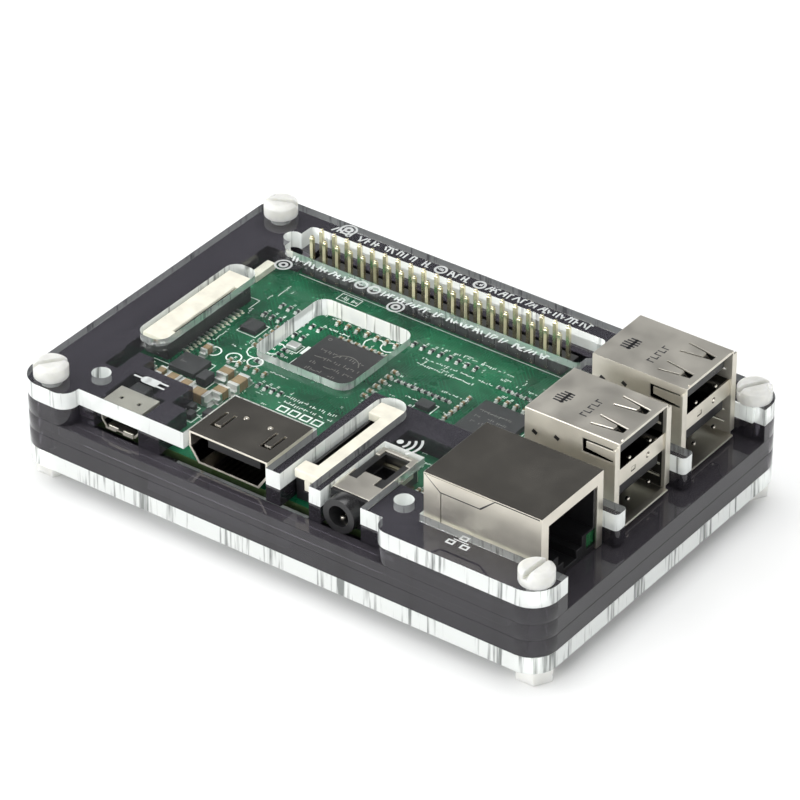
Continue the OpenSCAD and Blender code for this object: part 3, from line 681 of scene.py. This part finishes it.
WORD_ROWS = (   # x, y, ticks, pitch, height and turn of each row that stands in for words
    (37.6, 41.4, 15, 0.9, 0.55, 0), (37.8, 39.7, 13, 0.9, 0.55, 0), (38.4, 45.4, 20, 0.85, 0.5, 0),
    (26.4, 20.2, 13, 0.85, 0.7, 0), (27.4, 18.8, 11, 0.85, 0.7, 0), (18.4, 41.4, 7, 0.75, 0.6, 0),
    (41.0, 31.2, 8, 0.7, 0.42, 0), (54.2, 43.2, 9, 0.75, 0.45, 0), (12.8, 26.6, 5, 0.7, 0.42, 90),
    (7.8, 26.2, 6, 0.75, 0.45, 90), (15.8, 44.2, 8, 0.7, 0.45, 0), (44.8, 35.6, 7, 0.7, 0.42, 0),
    (52.0, 26.2, 12, 0.7, 0.42, 0), (8.2, 42.4, 5, 0.7, 0.42, 90), (38.6, 18.0, 6, 0.8, 0.5, 90),
    (60.4, 22.6, 6, 0.7, 0.4, 0), (20.6, 24.2, 6, 0.65, 0.4, 0), (57.4, 45.2, 10, 0.7, 0.42, 0),
    (51.8, 18.2, 7, 0.75, 0.5, 0), (40.6, 26.0, 5, 0.7, 0.42, 90), (7.6, 8.9, 7, 0.7, 0.4, 0),
)


def build_board_print():
    """White print: frames round the chips, ticks beside the small parts, and plain marks."""
    bm = bmesh.new()
    gaps = {"socket_control_chip": 0.5, "power_chip": 0.45, "small_chips": 0.35,
            "crystals": 0.3, "inductors": 0.3}
    for node_name, gap in gaps.items():
        for low, high in separate_boxes(node_name):
            if low[2] > -0.5:
                add_outline(bm, low[0] - gap, low[1] - gap, high[0] + gap, high[1] + gap, 0.13)
    for low, high in separate_boxes("small_capacitors") + separate_boxes("resistors"):
        x, y = (low[0] + high[0]) / 2, (low[1] + high[1]) / 2
        upright = high[1] - low[1] > high[0] - low[0]
        if random.random() < 0.6:
            turn = 90 if upright else 0
            dx, dy = (0, 1.25) if upright else (1.15, 0)
            for k in range(2):
                add_block(bm, x + dx + 0.3 * k * (not upright), y + dy + 0.3 * k * upright, 0,
                          (0.12, 0.42, MARK), turn)
    for x, y, count, pitch, tall, turn in WORD_ROWS:
        add_strokes(bm, x, y, count, pitch, tall, 0.13, 0, turn)
    for _ in range(90):
        x, y = random.uniform(7, 64), random.uniform(12, 46)
        inside = (18.5 < x < 36.5 and 23 < y < 41) or (52.5 < x < 62.5 and 27 < y < 37)
        covered = x < 20 and y < 24
        if not inside and not covered:
            add_strokes(bm, x, y, random.choice((2, 3)), 0.5, 0.42, 0.1, 0, random.choice((0, 90)))
    for x0, y0, x1, y1 in ((3.3, 16.5, 6.7, 16.62), (6.64, 16.5, 6.76, 20.3), (6.64, 36.4, 6.76, 39.4),
                           (4.8, 39.34, 6.7, 39.46), (7.0, 49.4, 59.6, 49.5)):
        add_block(bm, (x0 + x1) / 2, (y0 + y1) / 2, 0, (x1 - x0, y1 - y0, MARK))
    add_outline(bm, 16.2, 47.1, 20.1, 49.0, 0.13)
    add_strokes(bm, 16.9, 48.0, 5, 0.62, 0.9, 0.15)
    for k in range(4):
        x = 28.4 + 2.2 * k
        add_outline(bm, x - 0.75, 16.4, x + 0.75, 17.7, 0.26)
    for x, y in ((9.7, 23.6), (13.4, 24.0), (16.9, 24.9)):
        add_ring(bm, x, y, 0, 1.1, 1.35, MARK)
    for x, y, r in ((27.5, 41.9, 1.6), (30.0, 42.6, 1.3), (15.5, 27.5, 1.7), (15.5, 31.8, 1.6)):
        add_arc(bm, x, y, 0, r, 40, 320, 0.22)
    add_block(bm, 19.9, 34.2, 0, (0.9, 2.4, MARK), 0)
    add_outline(bm, 20.0, 28.2, 20.9, 31.6, 0.14)
    for low, high in separate_boxes("display_socket_pins")[::5]:
        add_block(bm, high[0] + 0.6, (low[1] + high[1]) / 2, 0, (0.5, 0.14, MARK))
    finish("board_print", bm, WHITE_INK)


build_board_print()


def build_board_rings():
    """Plated rings round the mounting holes and the video socket's legs."""
    bm = bmesh.new()
    for x in MOUNT_HOLES_X:
        for y in MOUNT_HOLES_Y:
            add_ring(bm, x, y, 0, 1.42, 2.9, 0.03, 40)
    for x in (24.75, 39.25):
        for y in (1.6, 6.6):
            add_ring(bm, x, y, 0, 0.72, 1.0, 0.04)
    finish("board_rings", bm, TIN)


build_board_rings()


def build_chip_print():
    """Faint ticks on the processor and two other chips, and a ring at the processor's corner."""
    bm = bmesh.new()
    top = PROCESSOR_TOP
    for row, (y, count) in enumerate(((34.4, 9), (32.4, 10), (30.6, 9), (28.9, 7))):
        add_strokes(bm, 22.9 + row * 0.3, y, count, 0.92, 0.8, 0.14, top, 0, CHIP_MARK)
    add_arc(bm, 28.2, 32.6, top, 2.6, 20, 160, 0.16, CHIP_MARK, 12)
    add_ring(bm, 22.3, 37.4, top, 0.22, 0.34, CHIP_MARK)
    for x, y, count in ((54.0, 33.8, 8), (54.2, 32.2, 8), (54.4, 30.6, 6)):
        add_strokes(bm, x, y, count, 0.8, 0.7, 0.12, CONTROL_CHIP_TOP, 0, CHIP_MARK)
    add_strokes(bm, 8.0, 17.6, 4, 0.8, 0.7, 0.12, CONTROL_CHIP_TOP, 0, CHIP_MARK)
    finish("chip_print", bm, GREY_INK)


build_chip_print()


# ---------- engraved marks on the clear plate ----------

def build_engraving():
    """Meaningless strokes along the header, rings, and signs for power, sound and network."""
    bm = bmesh.new()
    z = PLATE_TOP
    for column in range(HEADER_COLUMNS):
        x = FIRST_PIN_X + column * HEADER_PITCH
        for y, tall in ((58.4, 1.7), (47.3, 1.5)):
            if random.random() < 0.12:
                add_ring(bm, x, y, z, 0.75, 1.15, MARK, 20)
                add_strokes(bm, x - 0.5, y, 2, 0.55, 0.7, 0.2, z)
                continue
            for k in range(random.choice((2, 3, 3))):
                tick = random.uniform(0.6, 1.0) * tall
                lean = random.choice((0, 0, 25, -25))
                add_block(bm, x - 0.75 + k * 0.68, y, z, (0.3, tick, MARK), lean)
                if random.random() < 0.6:
                    add_block(bm, x - 0.5 + k * 0.68, y + random.choice((-0.5, 0, 0.5)) * tall * 0.8, z,
                              (0.55, 0.28, MARK))
    for x, y in ((7.4, 44.8), (29.3, 45.3), (9.6, 59.4)):
        add_ring(bm, x, y, z, 1.15, 1.5, MARK, 28)
        add_ring(bm, x, y, z, 0.35, 0.8, MARK, 20)
    # power plug sign
    add_block(bm, 11.6, 6.0, z, (2.4, 1.7, MARK), 0)
    add_disc(bm, 10.4, 6.0, z, 0.85, MARK)
    for y in (5.45, 6.55):
        add_block(bm, 13.5, y, z, (1.7, 0.36, MARK), 0)
    add_block(bm, 8.9, 6.0, z, (1.8, 0.34, MARK), 0)
    # sound waves behind the jack
    add_disc(bm, 52.1, 15.4, z, 0.55, MARK)
    for r in (1.4, 2.4, 3.4):
        add_arc(bm, 52.1, 15.4, z, r, -40, 40, 0.42)
    # linked boxes near the network socket
    for x, y in ((73.4, -1.2), (75.9, -1.2), (74.65, 0.6)):
        add_outline(bm, x - 0.55, y - 0.42, x + 0.55, y + 0.42, 0.3, z)
    add_block(bm, 74.65, -0.3, z, (2.6, 0.2, MARK))
    finish("plate_engraving", bm, FROST)


build_engraving()


# ---------- sockets ----------

def build_twin_springs(name, yc):
    """Bent spring tips in the top and side windows of a stacked socket."""
    bm = bmesh.new()
    top = TWIN_TOP - 0.15
    for s in (-1, 1):
        y = yc + s * TWIN_FINGER
        add_block(bm, 84.55, y, top - 0.62, (1.3, 0.95, 0.16), 0, ("Y", 33))
        add_block(bm, 85.25, y, top - 0.98, (0.5, 0.6, 0.16), 0, ("Y", -25))
        for z in TWIN_PORTS:
            add_block(bm, 81.35, yc + s * 6.25, z - 0.3, (0.7, 0.16, 0.9), s * 24)
    for s in (-1, 1):
        add_dome(bm, 85.45, yc + s * TWIN_FINGER, top - 0.75, 0.34)
    for z in (10.95, 3.4):
        for y in (-2.6, 2.9):
            add_dome(bm, 86.2, yc + y, z, 0.36)
    finish(name, bm, NICKEL, bevel=0.04)


for socket_name, centre in TWIN_CENTRES.items():
    build_twin_springs(socket_name + "_springs", centre)


def build_twin_punch_shades(name, yc):
    """Painted shade of two punched dimples on a stacked socket's side: tilted black blocks where the
    dimples' shade falls.
    """
    bm = bmesh.new()
    for x, z in ((71.9, 11.9), (75.9, 12.4)):
        # painted shade: black blocks stand where the dimples' shade falls
        add_block(bm, x, yc - 6.58, z - 0.3, (0.9, 0.12, 0.6), 0, ("Y", 30))
    finish(name, bm, SOCKET_BLACK)


def build_twin_print(name, yc):
    """A few plain bars and ticks on top of a stacked socket, in place of a maker's print."""
    bm = bmesh.new()
    for k in range(5):
        wide = 2.6 - 0.35 * abs(k - 2)
        add_block(bm, 73.1 + 0.1 * k, yc - 2.2 + 0.62 * k, TWIN_TOP, (wide, 0.34, CHIP_MARK))
    add_block(bm, 73.6, yc - 1.0, TWIN_TOP, (0.5, 3.0, CHIP_MARK))
    for k in range(5):
        add_block(bm, 78.3, yc - 3.3 + 1.05 * k, TWIN_TOP, (1.3, 0.22, CHIP_MARK))
        x = 78.8 if k % 2 else 77.8
        add_block(bm, x, yc - 2.95 + 1.05 * k, TWIN_TOP, (0.22, 0.62, CHIP_MARK))
    finish(name, bm, CHIP)


for socket_name, centre in TWIN_CENTRES.items():
    build_twin_print(socket_name + "_print", centre)
    build_twin_punch_shades(socket_name + "_punch_shades", centre)


def build_network_flap():
    """The folded lid flap on the side of the network socket, with a black sheet behind it as painted shade
    in the gap round it, and a black strip as painted shade along the lid's seam.
    """
    flap_shape = [(66.35, 13.45), (69.15, 11.25), (76.2, 11.25), (78.8, 13.45)]
    # painted shade: the black sheet is a little larger than the flap and shows as a dark gap round it
    for name, grow, y0, y1, material, slot in (
            ("network_flap_shade_gap", 0.26, NETWORK_SIDE, 2.2, SOCKET_BLACK, "socket_black"),
            ("network_flap", 0.0, NETWORK_SIDE, 2.12, NICKEL, "nickel")):
        bm = bmesh.new()
        low = [(flap_shape[0][0] - grow, 13.45), (flap_shape[1][0] - grow * 0.6, 11.25 - grow),
               (flap_shape[2][0] + grow * 0.6, 11.25 - grow), (flap_shape[3][0] + grow, 13.45)]
        verts = [bm.verts.new(spot(x, y0, z)) for x, z in low]
        face = bm.faces.new(verts)
        made = bmesh.ops.extrude_face_region(bm, geom=[face])["geom"]
        moved = [v for v in made if isinstance(v, bmesh.types.BMVert)]
        bmesh.ops.translate(bm, verts=moved, vec=(0, (y1 - y0) * MM, 0))
        finish(name, bm, material)
    bm = bmesh.new()
    # painted shade: a thin black strip along the lid's seam
    add_block(bm, 82.9, 2.2, 13.36, (8.0, 0.06, 0.14))
    finish("network_lid_shade_line", bm, SOCKET_BLACK)


build_network_flap()


def build_video_springs():
    """Bent spring tips in the top windows of the video socket, and its two domes."""
    bm = bmesh.new()
    for x in (27.2, 36.8):
        add_block(bm, x, 4.6, 5.72, (1.1, 3.2, 0.14), 0, ("X", 8))
        add_block(bm, x, 2.75, 5.35, (0.9, 0.9, 0.14), 0, ("X", -30))
    for x in (29.7, 34.3):
        add_dome(bm, x, 6.3, 5.98, 0.5, 3)
    finish("video_socket_springs", bm, NICKEL, bevel=0.04)


build_video_springs()


def build_jack_glint():
    """The spring contact that shows inside the round socket."""
    bm = bmesh.new()
    add_dome(bm, 53.05, -0.3, 1.45, 0.5, 3)
    add_block(bm, 53.05, 1.6, 1.2, (0.6, 3.6, 0.3))
    finish("jack_spring_tip", bm, NICKEL, bevel=0.08)


build_jack_glint()


def build_power_lips():
    """The two bright feet in the mouth of the power socket."""
    bm = bmesh.new()
    for x in (9.5, 12.35):
        add_block(bm, x, -1.05, 0.3, (1.85, 0.3, 0.55))
    finish("power_socket_lips", bm, BRIGHT_TIN, bevel=0.06)


def build_divider_domes():
    """Pressed domes on the plates between stacked ports."""
    bm = bmesh.new()
    for yc in TWIN_CENTRES.values():
        add_dome(bm, 86.55, yc + 1.9, 9.05, 0.42, 3)
        add_block(bm, 86.5, yc - 2.0, 8.5, (0.3, 0.9, 0.6))
    finish("divider_domes", bm, NICKEL, bevel=0.05)


build_power_lips()
build_divider_domes()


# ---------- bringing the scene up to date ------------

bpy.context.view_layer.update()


# ---------- floor, lights, camera ----------

def build_floor():
    """A wide pale floor just under the feet."""
    bm = bmesh.new()
    bmesh.ops.create_grid(bm, x_segments=1, y_segments=1, size=3.0)
    mesh = bpy.data.meshes.new("floor")
    bm.to_mesh(mesh)
    bm.free()
    floor = bpy.data.objects.new("floor", mesh)
    floor.location = (0, 0, -0.00005)
    bpy.context.scene.collection.objects.link(floor)
    material, tree, shader, coords = start_material("pale_floor", (0.93, 0.935, 0.93), 0.6)
    add_sheen(tree, shader, coords, 0.5, 0.7, 4.0)
    shader.inputs["Specular IOR Level"].default_value = 0.1
    mesh.materials.append(material)


def build_light(name, place, aim, size, power, colour=(1, 1, 1)):
    lamp = bpy.data.lights.new(name, "AREA")
    lamp.shape = "RECTANGLE"
    lamp.size, lamp.size_y = size
    lamp.energy = power
    lamp.color = colour
    holder = bpy.data.objects.new(name, lamp)
    holder.location = place
    holder.rotation_euler = (Vector(aim) - Vector(place)).to_track_quat("-Z", "Y").to_euler()
    bpy.context.scene.collection.objects.link(holder)


def build_world():
    """A sky that is white low down and grey above, for the metal to mirror."""
    world = bpy.data.worlds.new("studio")
    bpy.context.scene.world = world
    world.use_nodes = True
    tree = world.node_tree
    background = tree.nodes["Background"]
    coords = node_in(tree, "ShaderNodeTexCoord")
    split = node_in(tree, "ShaderNodeSeparateXYZ")
    link(tree, coords.outputs["Generated"], split.inputs[0])
    tone = ramp(tree, split.outputs["Z"], [(0.0, (1.0, 1.0, 1.0)), (0.32, (1.0, 1.0, 1.0)),
                                          (0.5, (0.1, 0.1, 0.105)), (1.0, (0.3, 0.3, 0.3))])
    link(tree, tone, background.inputs["Color"])
    background.inputs["Strength"].default_value = 1.1


def build_camera():
    camera = bpy.data.cameras.new("camera")
    camera.sensor_width = 36
    camera.lens = 215.74
    camera.clip_start, camera.clip_end = 0.05, 20
    holder = bpy.data.objects.new("camera", camera)
    turn = Euler((math.radians(56.018), 0, math.radians(36.269))).to_matrix()
    holder.location = (0.36338, -0.49515, 0.42824)
    holder.rotation_euler = (turn @ Matrix.Rotation(math.radians(-0.144), 3, "Z")).to_euler()
    bpy.context.scene.collection.objects.link(holder)
    bpy.context.scene.camera = holder


build_floor()
build_world()
build_light("overhead_softbox", (-0.15, 0.25, 1.1), (0, 0, 0), (0.9, 0.7), 9.0)
build_light("left_softbox", (-0.9, -0.5, 0.7), (0, 0, 0), (0.6, 0.8), 5.0)
build_light("front_softbox", (-0.35, -1.1, 0.3), (0, 0, 0), (0.9, 0.4), 7.0)
build_light("right_softbox", (0.9, -0.3, 0.6), (0, 0, 0), (0.5, 0.6), 3.0)
build_camera()
bpy.context.scene.view_settings.view_transform = "Standard"
